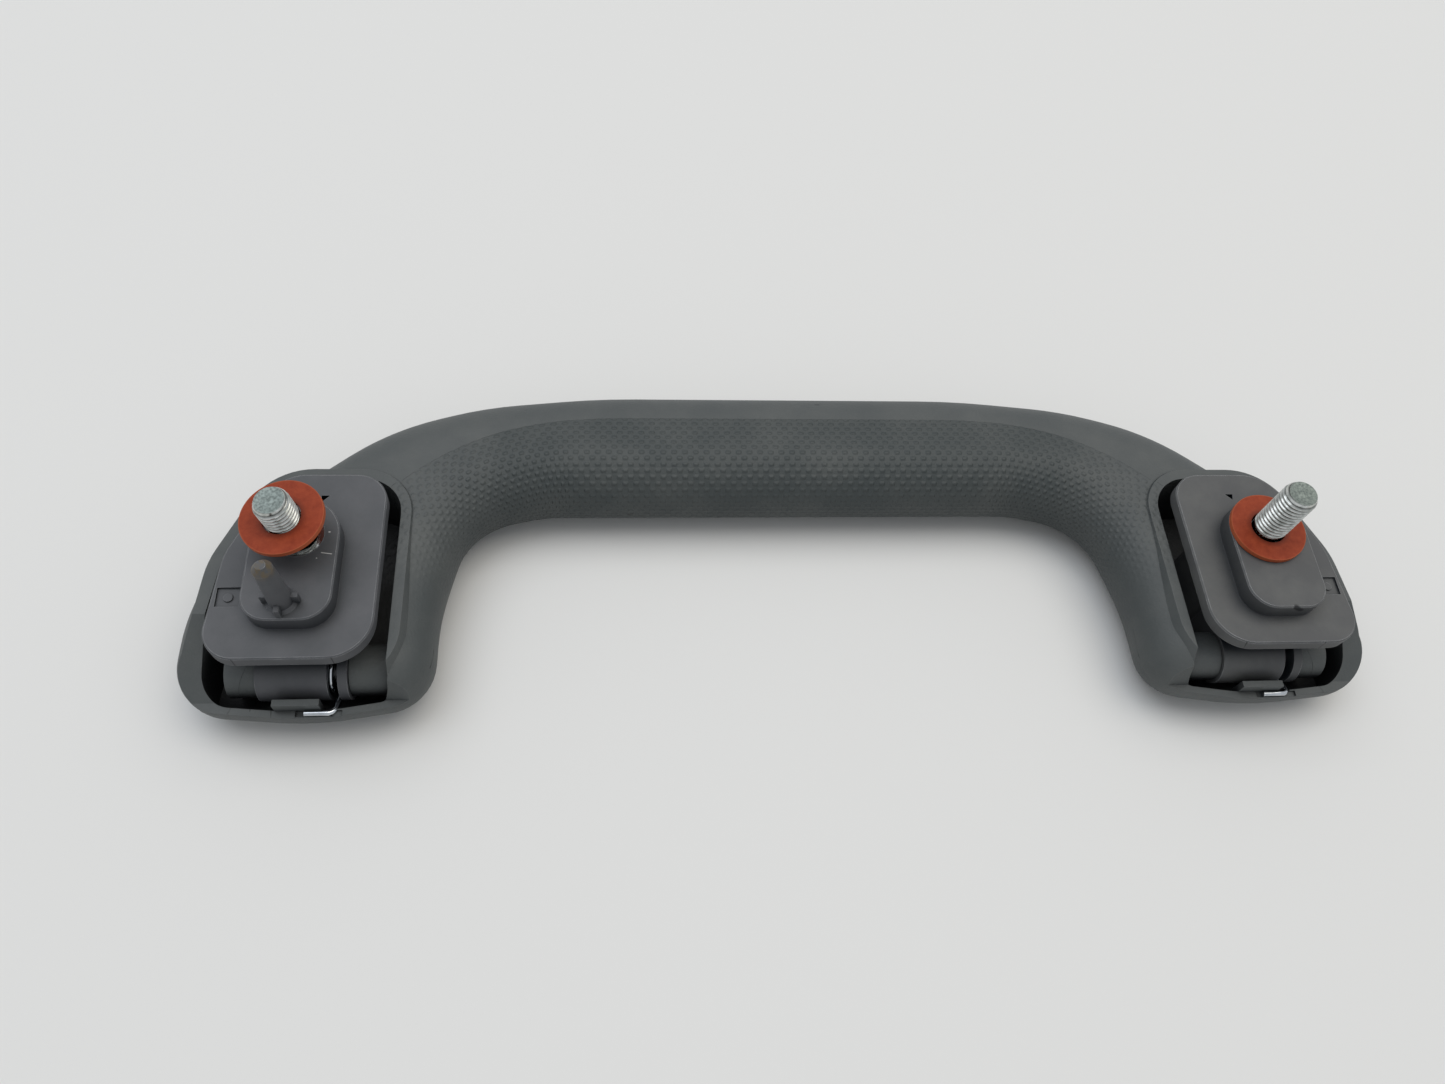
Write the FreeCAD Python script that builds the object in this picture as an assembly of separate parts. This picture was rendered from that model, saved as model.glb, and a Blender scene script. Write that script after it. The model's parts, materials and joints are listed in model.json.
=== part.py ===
import FreeCAD, Part
import math
import os

# Folding roof grab handle, lying on its cabin face with its mounting side up.
# Millimetres. X runs along the handle, Y from the hinge side to the hand bow, Z up.
# While it is built, Y = 0 is the hinge axis. The end of the file centres the part.

V = FreeCAD.Vector
os.makedirs("parts", exist_ok=True)

# Overall layout
mount_x = 99.9            # screw axis from the middle of the handle
hinge_z = 10.5            # height of the hinge axis
screw_y = 20.5            # screw axis from the hinge axis
grip_top = 20.5           # height of the moulding without its rim lip
lip_height = 0.6          # rim lip above that

# Hand bow
bow_in = 37.4             # finger side of the bow at its widest
bow_out = 65.9            # far side of the bow
bow_in_x = 46.0           # where its finger side begins to bend, from the screw axis
bow_in_r = 28.0
knee_x = 30.0             # bend from the bow into a leg, from the screw axis
knee_drop = 3.8
knee_r = 15.0
bow_out_x = 58.0          # where its far side begins to bend, from the screw axis
bow_out_r = 160.0
bend_x = 32.0             # next corner of that bend
bend_drop = 2.8
bend_r = 80.0
elbow_x = 11.0            # and the last, above the pod
elbow_drop = 9.3
elbow_r = 55.0
crest_round = 10.2        # rounding of the mounting side
belly_round = 10.0        # rounding of the cabin side

# End pods, measured from the screw axis (X) and the hinge axis (Y)
pod_out = 25.3            # outer side of a pod
pod_in = 24.9             # inner side of a pod, where the finger gap begins
pod_near = 10.8           # near end of a pod
near_wall_z = 11.2        # top of the near wall
wall_step_y = -6.9        # where the wall's top steps up to the pod's sides
wall_step_run = 2.6       # length of that step on the finger gap's side
rim_fall_y = 8.0          # where the outer side begins to fall towards the near wall
near_peak_x = -1.4        # where the crowned near end stands out most
near_slope_in = 0.15      # how it falls back towards the finger gap
near_slope_out = 0.094    # and towards the outer side
near_crown_r = 60.0
corner_r = 10.4           # near corners in plan
leg_y0 = 12.0             # where the pod sides begin to lean
leg_in_r = 60.0
leg_out_r = 40.0
shoulder_x = 17.0         # outer shoulder of a pod
shoulder_y = 33.0
shoulder_r = 26.0

# Bracket plate
plate_z = 23.0            # underside of the plate
plate_t = 3.0
plate_near = 3.9          # plate edge beyond the hinge axis
plate_far = 37.2
plate_in = 15.1           # inner edge from the screw axis
plate_out_near = 17.0     # outer edge at the near corner
plate_out_far = 15.2      # outer edge where the far curve begins
plate_far_y = 18.5        # that place along Y
plate_r = 6.5             # corner radius
plate_in_r = 8.5          # near corner beside the finger gap
plate_far_r = 15.0        # far outer curve
recess_x = 10.6           # small sunk field beside the pad, with a round button in it
recess_w = 4.4
recess_y = 7.1
recess_len = 4.1
recess_deep = 0.5
button_r = 0.9
button_h = 0.3
notch_x = -2.3            # three-cornered nick at the pad's far end
notch_y = 30.6
notch_w = 1.4
edge_bevel = 0.3

# Pad, screw box and seat
pad_h = 4.2
pad_half = 8.5
pad_shift = 0.7           # middle of the pad outward from the screw axis
pad_near_y = 2.2
pad_near_r = 5.5
box_half = 9.2
box_wall = 2.0
box_r = 2.0               # near corners of the box
box_near_y = 9.4
seat_z = 20.0

# Pocket in the grip
plate_gap = 2.0           # play round the plate
lip_w = 2.4
lip_shift = 0.3           # the rim is this much wider on the outer side
rim_slope_w = 3.0         # how far the rim's outside slopes out
rim_slope_h = 7.0
floor_t = 2.5
near_wall_t = 1.5
pocket_r = 3.0
near_flare = 1.0          # how much wider the pocket is at its near end
pocket_out_r = 5.5        # its outer near corner
wall_rise = 1.0           # near wall above the end of the floor's round
floor_stretch = 1.15      # length of that round against its height

# Hinge knuckles
barrel_r = 6.0
box_z = hinge_z - barrel_r # cabin side end of the screw box
barrel_len = 13.8
spring_gap = 2.0
collar_len = 1.9
knuckle_offset = 0.2      # middle of the knuckles from the screw axis
side_play = 0.15
boss_r = 5.2
boss_end = 15.0           # outer boss end from the screw axis
boss_root = 1.5           # inner boss end inside the pod's wall
stem_half = 2.6           # half the width of the stem under a boss
coil_room = 6.2           # depth of the coil's seat in the wide knuckle
neck_near = 4.9           # face of the neck that stops the swing
pin_r = 2.0
pin_play = 0.05
pin_start = 1.0           # pin's end inside the pod's inner wall
pin_bevel = 0.3

# Return spring
wire_r = 0.6
coil_r = 4.0
coil_turns = 3
coil_sides = 18           # straight stretches in one turn
coil_pitch = 1.35
coil_space_r = 5.0
leg_y = -9.4              # leg lying in the near wall's groove
leg_z = 11.4
leg_len = 5.8
leg_bend = 1.2
tail_len = 3.2            # tail of the coil, hooked into the knuckle
groove_play = 0.05        # room under and beside the leg
tab_far = -7.4            # tab of the near wall that keeps the leg in
tab_top = 14.0
tab_start = 11.2          # its two ends, back from the spring's gap
tab_end = 2.2
groove_len = 7.2          # groove in the wall's top for the leg
groove_after = 1.8

# Screws, sleeves and washers
thread_r = 3.5
shank_r = 3.05
shank_len = 11.5
screw_len = 25.0
point_r = 2.85
point_len = 1.2
flange_r = 6.2
flange_top_r = 5.2
flange_t = 1.4
hex_af = 10.0
hex_h = 5.0
sleeve_r = 4.9
sleeve_bore = 3.85
sleeve_len = 10.4
washer_r = 8.0
washer_hole = 3.7
washer_t = 1.0
left_tilt = 5.3           # how far the left screw leans
left_turn = 0.3           # and towards where
left_drop = 0.75
left_pivot = 3.5          # height in its sleeve about which the left screw leans
left_washer_up = 17.6

# Locating peg of the left bracket
peg_y = 6.1
peg_out = 1.2             # outward from the screw axis
peg_r = 2.4
peg_tip_r = 1.9
peg_top = 44.8
peg_tip_h = 1.5
peg_foot = 0.6
peg_rib = 1.0             # ribs at its foot
peg_rib_h = 2.6
peg_rib_reach = 3.5

# Screw cover
cover_t = 1.4
cover_play = 0.2
hook_t = 1.2
hook_len = 6.0
hook_y = -5.0             # near side of the hooks, from the screw axis
hook_w = 4.0

# Cuts and joins
over = 1.0                # how far a cut reaches past the surface that it opens
sink = 1.0                # how far a piece reaches into the one that it is joined to
tiny = 0.01


def box(x0, x1, y0, y1, z0, z1):
    return Part.makeBox(x1 - x0, y1 - y0, z1 - z0, V(x0, y0, z0))


def rod_x(r, x0, x1, y, z):
    return Part.makeCylinder(r, x1 - x0, V(x0, y, z), V(1, 0, 0))


def rod_z(r, x, y, z0, z1):
    return Part.makeCylinder(r, z1 - z0, V(x, y, z0), V(0, 0, 1))


def rounded_wire(points, radii):
    """Closed flat outline through the corners, each rounded with its own radius."""
    edges = []
    count = len(points)
    starts = []
    ends = []
    for i in range(count):
        p = V(points[i][0], points[i][1], 0)
        if not radii[i]:
            starts.append(p)
            ends.append(p)
            continue
        a = V(points[i - 1][0], points[i - 1][1], 0)
        b = V(points[(i + 1) % count][0], points[(i + 1) % count][1], 0)
        to_a = (a - p).normalize()
        to_b = (b - p).normalize()
        half = to_a.getAngle(to_b) / 2
        cut = radii[i] / math.tan(half)
        middle = (to_a + to_b).normalize()
        arc_mid = p + middle * (radii[i] / math.sin(half) - radii[i])
        starts.append(p + to_a * cut)
        ends.append(p + to_b * cut)
        edges.append(Part.Arc(starts[i], arc_mid, ends[i]).toShape())
    for i in range(count):
        edges.append(Part.LineSegment(ends[i - 1], starts[i]).toShape())
    return Part.Wire(Part.__sortEdges__(edges))


def prism(wire, z0, z1):
    face = Part.Face(wire)
    face.translate(V(0, 0, z0))
    return face.extrude(V(0, 0, z1 - z0))


def profile_x(points, x0, x1):
    """Prism along X from a closed outline given in Y and Z."""
    corners = [V(x0, y, z) for y, z in points]
    wire = Part.makePolygon(corners + corners[:1])
    return Part.Face(wire).extrude(V(x1 - x0, 0, 0))


def mirrored(shape):
    return shape.mirror(V(0, 0, 0), V(1, 0, 0))


def plate_outline(grow):
    """Plan of the bracket plate round the screw axis, grown evenly outward."""
    corners = [
        (-plate_in, -plate_near),
        (plate_out_near, -plate_near),
        (plate_out_far, plate_far_y),
        (plate_out_far - 8.0, plate_far),
        (-plate_in, plate_far),
    ]
    radii = [plate_in_r, plate_r, plate_far_r, plate_far_r * 0.6, plate_r]
    wire = rounded_wire(corners, radii)
    if grow:
        wire = wire.makeOffset2D(grow)
    return wire


def near_line(x):
    """Near end of a pod in plan, crowned, at a distance outward from the screw axis."""
    slope = near_slope_out if x > near_peak_x else -near_slope_in
    return -pod_near + slope * (x - near_peak_x)


def grip_outline():
    """Plan of the whole moulding: bow, bent legs and pods."""
    m = mount_x
    right = [
        (m - bow_in_x, bow_in, bow_in_r),
        (m - knee_x, bow_in - knee_drop, knee_r),
        (m - pod_in, leg_y0, leg_in_r),
        (m - pod_in, near_line(-pod_in), corner_r),
        (m + near_peak_x, -pod_near, near_crown_r),
        (m + pod_out, near_line(pod_out), corner_r),
        (m + pod_out, leg_y0, leg_out_r),
        (m + shoulder_x, shoulder_y, shoulder_r),
        (m - elbow_x, bow_out - elbow_drop, elbow_r),
        (m - bend_x, bow_out - bend_drop, bend_r),
        (m - bow_out_x, bow_out, bow_out_r),
    ]
    left = [(-x, y, r) for x, y, r in reversed(right)]
    corners = [(x, y) for x, y, r in right + left]
    radii = [r for x, y, r in right + left]
    return rounded_wire(corners, radii)


def grip_body():
    """Outer form: the plan raised to the crest, then rounded on both sides."""
    body = prism(grip_outline(), 0, grip_top)
    belly = [e for e in body.Edges if e.BoundBox.ZMax < tiny]
    body = body.makeFillet(belly_round, belly)
    crest = [e for e in body.Edges if e.BoundBox.ZMin > grip_top - tiny]
    return body.makeFillet(crest_round, crest)


def pocket():
    """Space inside the right pod, open to the mounting side."""
    high = grip_top * 2
    plan = prism(plate_outline(plate_gap), floor_t, high)
    x0 = -plate_in - plate_gap
    x1 = plate_out_near + plate_gap + near_flare
    y0 = -pod_near + near_wall_t
    corners = [
        (x0, near_line(x0) + near_wall_t),
        (near_peak_x, y0),
        (x1, near_line(x1) + near_wall_t),
        (plate_out_far + plate_gap, plate_far_y),
        (x0, plate_far_y),
    ]
    radii = [pocket_r, near_crown_r, pocket_out_r, 0, 0]
    near = prism(rounded_wire(corners, radii), floor_t, high)
    space = plan.fuse(near)
    # The floor rises towards the near wall in one round.
    x = x0 - plate_gap
    rise = near_wall_z - wall_rise - floor_t
    reach = rise * floor_stretch
    a = V(x, y0, floor_t + rise)
    b = V(x, y0 + reach * (1 - math.sqrt(0.5)), floor_t + rise * (1 - math.sqrt(0.5)))
    c = V(x, y0 + reach, floor_t)
    far = plate_far * 2
    outline = Part.makePolygon([c, V(x, far, floor_t), V(x, far, high), V(x, y0, high), a])
    wire = Part.Wire(Part.__sortEdges__([Part.Arc(a, b, c).toShape()] + outline.Edges))
    side = Part.Face(wire).extrude(V(plate_in * 4, 0, 0))
    return space.common(side)


def rim_collar():
    """Raised rim of the right pod, its outside sloping into the pod's rounded sides."""
    top = plate_outline(plate_gap + lip_w)
    top.translate(V(lip_shift, 0, grip_top + lip_height))
    foot = plate_outline(plate_gap + lip_w + rim_slope_w)
    foot.translate(V(lip_shift, 0, grip_top + lip_height - rim_slope_h))
    return Part.makeLoft([foot, top], True, True)


def slope_cut(top_y, top_z, x0, x1):
    """Space over the near wall, its underside rising from the wall's step to a given place."""
    rise = (top_z - near_wall_z) / (top_y - wall_step_y)
    end_z = top_z + pocket_r
    end_y = top_y + (end_z - top_z) / rise
    return profile_x([
        (-2 * pod_near, near_wall_z),
        (wall_step_y, near_wall_z),
        (end_y, end_z),
        (-2 * pod_near, end_z),
    ], x0, x1)


def knuckle_start(side):
    """X where the wide knuckle begins. Both ends of the handle have the same hand."""
    length = barrel_len + spring_gap + collar_len
    return side * (mount_x + knuckle_offset) - length / 2


def knuckle_stop(side):
    return knuckle_start(side) + barrel_len + spring_gap + collar_len


def make_grip():
    body = grip_body()
    collar = rim_collar()
    collar.translate(V(mount_x, 0, 0))
    collar = collar.common(prism(grip_outline(), 0, grip_top * 2))
    outer = body
    body = body.fuse(collar).fuse(mirrored(collar))
    room = pocket()
    room.translate(V(mount_x, 0, 0))
    # The near wall stands lower than the rest. It steps up to the side by the finger gap, and the
    # outer side falls towards it slowly.
    high = grip_top + lip_height
    middle = mount_x + near_peak_x
    drop = slope_cut(wall_step_y + wall_step_run, high, middle - 2 * pod_in, middle)
    drop = drop.fuse(slope_cut(rim_fall_y, high, middle, middle + 2 * pod_out))
    body = body.cut(room).cut(mirrored(room)).cut(drop).cut(mirrored(drop))
    wall_in = mount_x - plate_in - plate_gap
    for side in (-1, 1):
        start = knuckle_start(side) - side_play
        stop = knuckle_stop(side) + side_play
        outer_end = side * (mount_x + boss_end)
        inner_end = side * (wall_in - boss_root)
        spans = [(min(outer_end, inner_end), start), (stop, max(outer_end, inner_end))]
        for x0, x1 in spans:
            boss = rod_x(boss_r, x0, x1, 0, hinge_z)
            stem = box(x0, x1, -stem_half, stem_half, floor_t - sink, hinge_z)
            body = body.fuse(boss).fuse(stem)
        first = knuckle_start(side)
        gap_x = first + barrel_len + spring_gap / 2
        reach = wire_r + groove_play
        high = tab_top + over
        tab = box(gap_x - tab_start, gap_x - tab_end, leg_y + reach, tab_far,
                  near_wall_z - sink, tab_top)
        root = box(gap_x - tab_start, gap_x - tab_end, -pod_near, tab_far, floor_t, near_wall_z)
        body = body.fuse(tab).fuse(root.common(outer))
        groove = box(gap_x - groove_len, gap_x + groove_after, leg_y - reach, leg_y + reach,
                     leg_z - reach, high)
        entry = box(gap_x - tab_end, gap_x + reach, leg_y, tab_far, leg_z - reach, high)
        body = body.cut(groove).cut(entry)
        bore_in = side * (wall_in + pin_start)
        bore_out = side * (mount_x + boss_end + tiny)
        body = body.cut(rod_x(pin_r, min(bore_in, bore_out), max(bore_in, bore_out), 0, hinge_z))
    return body


def make_bracket(side):
    """Plate, pad, screw box and knuckles, one moulding."""
    flat = prism(plate_outline(0), plate_z, plate_z + plate_t)
    top = plate_z + plate_t
    flat = bevel_top(flat, top, edge_bevel)
    pad_far = screw_y + pad_half
    x0 = pad_shift - pad_half
    x1 = pad_shift + pad_half
    corners = [(x0, pad_near_y), (x1, pad_near_y), (x1, pad_far), (x0, pad_far)]
    radii = [pad_near_r, pad_near_r, pad_half - tiny, pad_half - tiny]
    pad = prism(rounded_wire(corners, radii), top - sink, top + pad_h)
    pad = bevel_top(pad, top + pad_h, edge_bevel)
    box_far = screw_y + box_half
    corners = [(-box_half, box_near_y), (box_half, box_near_y),
               (box_half, box_far), (-box_half, box_far)]
    radii = [box_r, box_r, box_half - tiny, box_half - tiny]
    case = prism(rounded_wire(corners, radii), box_z, plate_z + sink)
    inner = [(-box_half + box_wall, box_near_y + box_wall),
             (box_half - box_wall, box_near_y + box_wall),
             (box_half - box_wall, box_far - box_wall),
             (-box_half + box_wall, box_far - box_wall)]
    round_end = box_half - box_wall - tiny
    radii = [box_r / 2, box_r / 2, round_end, round_end]
    hollow = prism(rounded_wire(inner, radii), box_z - over, seat_z)
    shape = flat.fuse(pad).fuse(case).cut(hollow)
    recess = box(recess_x, recess_x + recess_w, recess_y, recess_y + recess_len,
                 top - recess_deep, top + over)
    button = rod_z(button_r, recess_x + recess_w / 2, recess_y + recess_len / 2,
                   top - recess_deep - tiny, top - recess_deep + button_h)
    point = V(notch_x, notch_y, 0)
    corner = [point, point + V(-notch_w, notch_w, 0), point + V(notch_w / 4, notch_w, 0), point]
    notch = prism(Part.makePolygon(corner), plate_z + plate_t / 2, top + over)
    shape = shape.cut(recess).fuse(button).cut(notch)
    if side < 0:
        shape = mirrored(shape)
    shape.translate(V(side * mount_x, 0, 0))
    x0 = knuckle_start(side)
    x1 = x0 + barrel_len
    x2 = x1 + spring_gap
    x3 = x2 + collar_len
    for a, b in ((x0, x1), (x2, x3)):
        neck = profile_x([
            (0, hinge_z - barrel_r),
            (box_near_y + sink, hinge_z - barrel_r),
            (box_near_y + sink, plate_z + sink),
            (neck_near, plate_z + sink),
            (neck_near, hinge_z + pin_r),
            (0, hinge_z + pin_r),
        ], a, b)
        shape = shape.fuse(rod_x(barrel_r, a, b, 0, hinge_z)).fuse(neck)
    shape = shape.cut(rod_x(coil_space_r, x1 - coil_room, x1, 0, hinge_z))
    shape = shape.cut(rod_x(pin_r + pin_play, x0 - over, x3 + over, 0, hinge_z))
    y, z = on_coil(leg_angle())
    tail_hole = rod_x(wire_r + 2 * groove_play, x1 - coil_room - tail_len, x1 - coil_room, y, z)
    shape = shape.cut(tail_hole)
    hole_top = top + pad_h + over
    shape = shape.cut(rod_z(sleeve_r, side * mount_x, screw_y, seat_z - over, hole_top))
    if side < 0:
        shape = shape.fuse(make_peg(top + pad_h))
    return shape


def bevel_top(shape, z, size):
    edges = [e for e in shape.Edges if e.BoundBox.ZMin > z - tiny]
    return shape.makeChamfer(size, edges)


def make_peg(base_z):
    x = -mount_x - peg_out
    stem = Part.makeCone(peg_r, peg_tip_r, peg_top - peg_tip_h - base_z, V(x, peg_y, base_z))
    tip = Part.makeCone(peg_tip_r, peg_tip_r / 2, peg_tip_h, V(x, peg_y, peg_top - peg_tip_h))
    foot = Part.makeCone(peg_r + peg_foot, peg_r, peg_foot, V(x, peg_y, base_z))
    rib_z = base_z + peg_rib_h
    ribs = box(x - peg_rib_reach, x + peg_rib_reach, peg_y - peg_rib / 2, peg_y + peg_rib / 2,
               base_z, rib_z)
    cross = box(x - peg_rib / 2, x + peg_rib / 2, peg_y - peg_rib_reach, peg_y, base_z, rib_z)
    root = rod_z(peg_r, x, peg_y, base_z - sink, base_z)
    return stem.fuse(tip).fuse(foot).fuse(ribs).fuse(cross).fuse(root)


def make_pin(side):
    inner = side * (mount_x - plate_in - plate_gap + pin_start)
    outer = side * (mount_x + boss_end)
    pin = rod_x(pin_r, min(inner, outer), max(inner, outer), 0, hinge_z)
    return pin.makeChamfer(pin_bevel, pin.Edges[0:1] + pin.Edges[2:3])


def leg_angle():
    """Angle round the pin at which the straight leg leaves the coil for the grip's groove."""
    reach = math.hypot(leg_y, leg_z - hinge_z)
    return math.atan2(leg_z - hinge_z, leg_y) - math.acos(coil_r / reach)


def on_coil(angle):
    return coil_r * math.cos(angle), hinge_z + coil_r * math.sin(angle)


def wire_along(route):
    """Six-sided bar along a route of points, mitred at every one where it turns."""
    first = (route[1] - route[0]).normalize()
    side = first.cross(V(0.3, 0.5, 0.8)).normalize()
    rise = first.cross(side)
    ring = []
    for i in range(6):
        angle = math.radians(60 * i)
        ring.append(route[0] + (side * math.cos(angle) + rise * math.sin(angle)) * wire_r)
    faces = [Part.Face(Part.makePolygon(ring + ring[:1]))]
    for i in range(1, len(route)):
        along = (route[i] - route[i - 1]).normalize()
        across = along
        if i + 1 < len(route):
            across = along + (route[i + 1] - route[i]).normalize()
        nearer = ring
        ring = []
        for p in nearer:
            ring.append(p + along * ((route[i] - p).dot(across) / along.dot(across)))
        for k in range(6):
            quad = [nearer[k - 1], nearer[k], ring[k], ring[k - 1], nearer[k - 1]]
            faces.append(Part.Face(Part.makePolygon(quad)))
    faces.append(Part.Face(Part.makePolygon(ring + ring[:1])))
    return Part.Solid(Part.Shell(faces))


def make_spring(side):
    """Coil in the wide knuckle, one end hooked into it, the other in the grip's groove."""
    gap_x = knuckle_start(side) + barrel_len + spring_gap / 2
    first_x = gap_x - coil_turns * coil_pitch
    start = leg_angle()
    y, z = on_coil(start)
    route = [V(first_x - tail_len, y, z), V(first_x - leg_bend / 2, y, z)]
    steps = coil_turns * coil_sides
    for i in range(1, steps + 1):
        y, z = on_coil(start + 2 * math.pi * i / coil_sides)
        route.append(V(first_x + coil_pitch * coil_turns * i / steps, y, z))
    foot = V(gap_x, leg_y, leg_z)
    along = (foot - route[-1]).normalize()
    route.append(foot - along * leg_bend)
    route.append(foot + V(-leg_bend, 0, 0))
    route.append(foot + V(-leg_len, 0, 0))
    return wire_along(route)


def screw_shape():
    """Flange screw standing on Z, the flange's bearing face at zero."""
    hex_r = hex_af / math.sqrt(3)
    corners = []
    for i in range(6):
        angle = math.radians(60 * i)
        corners.append((hex_r * math.cos(angle), hex_r * math.sin(angle)))
    points = [V(x, y, 0) for x, y in corners]
    head = Part.Face(Part.makePolygon(points + points[:1])).extrude(V(0, 0, -hex_h))
    flange = Part.makeCone(flange_top_r, flange_r, flange_t, V(0, 0, -flange_t))
    shank = rod_z(shank_r, 0, 0, 0, shank_len)
    thread = rod_z(thread_r, 0, 0, shank_len, screw_len - point_len)
    point = Part.makeCone(thread_r, point_r, point_len, V(0, 0, screw_len - point_len))
    return head.fuse([flange, shank, thread, point])


def ring_shape(r_out, r_in, height):
    ring = rod_z(r_out, 0, 0, 0, height)
    return ring.cut(rod_z(r_in, 0, 0, -over, height + over))


def set_on_screw(shape, side, up):
    """Carries a piece along the screw axis. The left screw leans outward in its hole."""
    base = V(side * mount_x, screw_y, seat_z)
    if side < 0:
        shape.translate(V(0, 0, up - left_drop))
        shape.rotate(V(0, 0, left_pivot), V(left_turn, -1, 0), left_tilt)
    else:
        shape.translate(V(0, 0, up))
    shape.translate(base)
    return shape


def make_cover(side):
    """Snap-in cover over the screw head, on the bracket's cabin side."""
    half = box_half
    far = screw_y + half
    corners = [(-half, box_near_y), (half, box_near_y), (half, far), (-half, far)]
    radii = [box_r, box_r, half - tiny, half - tiny]
    sheet = prism(rounded_wire(corners, radii), box_z - cover_t, box_z)
    room = box_half - box_wall - cover_play
    shape = sheet
    for x in (-room, room - hook_t):
        y = screw_y + hook_y
        hook = box(x, x + hook_t, y, y + hook_w, box_z - cover_t / 2, box_z + hook_len)
        shape = shape.fuse(hook)
    shape.translate(V(side * mount_x, 0, 0))
    return shape


def main():
    pieces = {"grip": make_grip()}
    for side, name in ((-1, "left"), (1, "right")):
        pieces[name + "_bracket"] = make_bracket(side)
        pieces[name + "_hinge_pin"] = make_pin(side)
        pieces[name + "_return_spring"] = make_spring(side)
        pieces[name + "_screw"] = set_on_screw(screw_shape(), side, 0)
        sleeve = ring_shape(sleeve_r, sleeve_bore, sleeve_len)
        sleeve.translate(V(side * mount_x, screw_y, seat_z))
        pieces[name + "_spacer_sleeve"] = sleeve
        washer = ring_shape(washer_r, washer_hole, washer_t)
        up = left_washer_up if side < 0 else sleeve_len
        pieces[name + "_retaining_washer"] = set_on_screw(washer, side, up)
        pieces[name + "_screw_cover"] = make_cover(side)
    turn = (math.atan(near_slope_in) + math.atan(near_slope_out)) / 2
    near_end = pod_near - near_crown_r * (1 / math.cos(turn) - 1)
    middle = (bow_out - near_end) / 2
    print("middle", round(middle, 3))
    for name, shape in pieces.items():
        shape.translate(V(0, -middle, 0))
        if shape.ShapeType == "Compound" and len(shape.Solids) == 1:
            shape = shape.Solids[0]
        shape.exportStep("parts/" + name + ".step")
        print(name, shape.isValid(), len(shape.Solids), round(shape.Volume))


main()
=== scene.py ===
# %% [markdown]
# # A folding roof grab handle
# The handle hangs over a car door. It lies here on its cabin face, so that its two hinge
# brackets and their screws point up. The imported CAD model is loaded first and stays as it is:
# it gives every place and size. This script adds what CAD leaves out, which is the finish of
# each surface, the screw threads and the round wire of the springs.

import bmesh
import bpy
import json
import math
from mathutils import Matrix, Vector


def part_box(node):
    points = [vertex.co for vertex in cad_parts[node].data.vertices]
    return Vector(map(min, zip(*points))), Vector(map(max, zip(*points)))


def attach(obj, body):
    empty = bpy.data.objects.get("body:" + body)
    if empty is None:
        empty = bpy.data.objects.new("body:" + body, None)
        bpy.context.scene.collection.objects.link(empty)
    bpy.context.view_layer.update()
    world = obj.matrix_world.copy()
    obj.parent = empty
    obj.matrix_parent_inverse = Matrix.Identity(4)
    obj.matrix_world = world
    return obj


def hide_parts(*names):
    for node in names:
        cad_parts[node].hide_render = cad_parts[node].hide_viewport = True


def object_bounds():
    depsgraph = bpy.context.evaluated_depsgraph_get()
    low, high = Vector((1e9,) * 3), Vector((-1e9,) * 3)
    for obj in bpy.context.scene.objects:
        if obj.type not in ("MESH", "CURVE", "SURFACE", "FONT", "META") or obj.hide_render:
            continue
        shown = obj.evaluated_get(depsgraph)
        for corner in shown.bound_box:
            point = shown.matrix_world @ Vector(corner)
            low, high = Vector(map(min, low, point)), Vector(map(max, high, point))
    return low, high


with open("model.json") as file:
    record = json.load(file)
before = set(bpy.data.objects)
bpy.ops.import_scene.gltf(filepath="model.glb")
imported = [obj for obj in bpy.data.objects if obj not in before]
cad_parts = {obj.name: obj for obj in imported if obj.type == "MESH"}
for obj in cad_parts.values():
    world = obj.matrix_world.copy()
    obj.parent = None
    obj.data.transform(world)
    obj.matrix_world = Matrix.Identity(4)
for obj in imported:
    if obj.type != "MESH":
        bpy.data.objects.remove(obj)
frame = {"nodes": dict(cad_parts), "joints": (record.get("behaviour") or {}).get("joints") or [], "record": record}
NODES = frame["nodes"]
RECORD = frame["record"]
cad_low, cad_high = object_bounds()
mm = 0.001
scene = bpy.context.scene
print("CAD box in mm:", [round(v / mm, 1) for v in (*cad_low, *cad_high)])

# %% [markdown]
# ## Places that everything else is measured from
# The record gives each hinge axis and each screw's axis. Reading them here keeps the looks on
# the model when a size changes there.

# %% Hinge and screw axes
SIDES = ("left", "right")
HINGES = {j["name"].split("_")[0]: Vector(j["pos_m"]) for j in frame["joints"]}
mounts = {m["name"]: m for m in RECORD["mounts"]}
threads = {side: mounts[side + "_screw_thread"] for side in SIDES}
THREAD_MIDDLES = {side: Vector(threads[side]["pos_m"]) for side in SIDES}
SCREW_AXES = {side: Vector(threads[side]["axis"]).normalized() for side in SIDES}
for side in SIDES:
    print(side, "hinge", tuple(HINGES[side]), "screw axis", tuple(SCREW_AXES[side]))

# %% [markdown]
# ## Colours and nodes
# Colours are written as the sRGB hex values that a colour picker shows, and one function turns
# them into the linear numbers that the shaders use. A second small function adds one node with
# its settings and links, so that each material below reads as a list of steps.

# %% Colour and node helpers
def linear(hex_value):
    """An sRGB hex colour, such as "5b5e60", as linear RGBA."""
    parts = [int(hex_value[i:i + 2], 16) / 255 for i in (0, 2, 4)]
    flat = [c / 12.92 if c <= 0.04045 else ((c + 0.055) / 1.055) ** 2.4 for c in parts]
    return (*flat, 1.0)


def add(tree, kind, inputs=None, out=0, **settings):
    """Adds a node and gives one of its outputs. An input is a value or another output."""
    node = tree.nodes.new("ShaderNode" + kind)
    for key, value in settings.items():
        setattr(node, key, value)
    for key, value in (inputs or {}).items():
        if isinstance(value, bpy.types.NodeSocket):
            tree.links.new(value, node.inputs[key])
        else:
            node.inputs[key].default_value = value
    return node.outputs[out] if node.outputs else None


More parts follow.
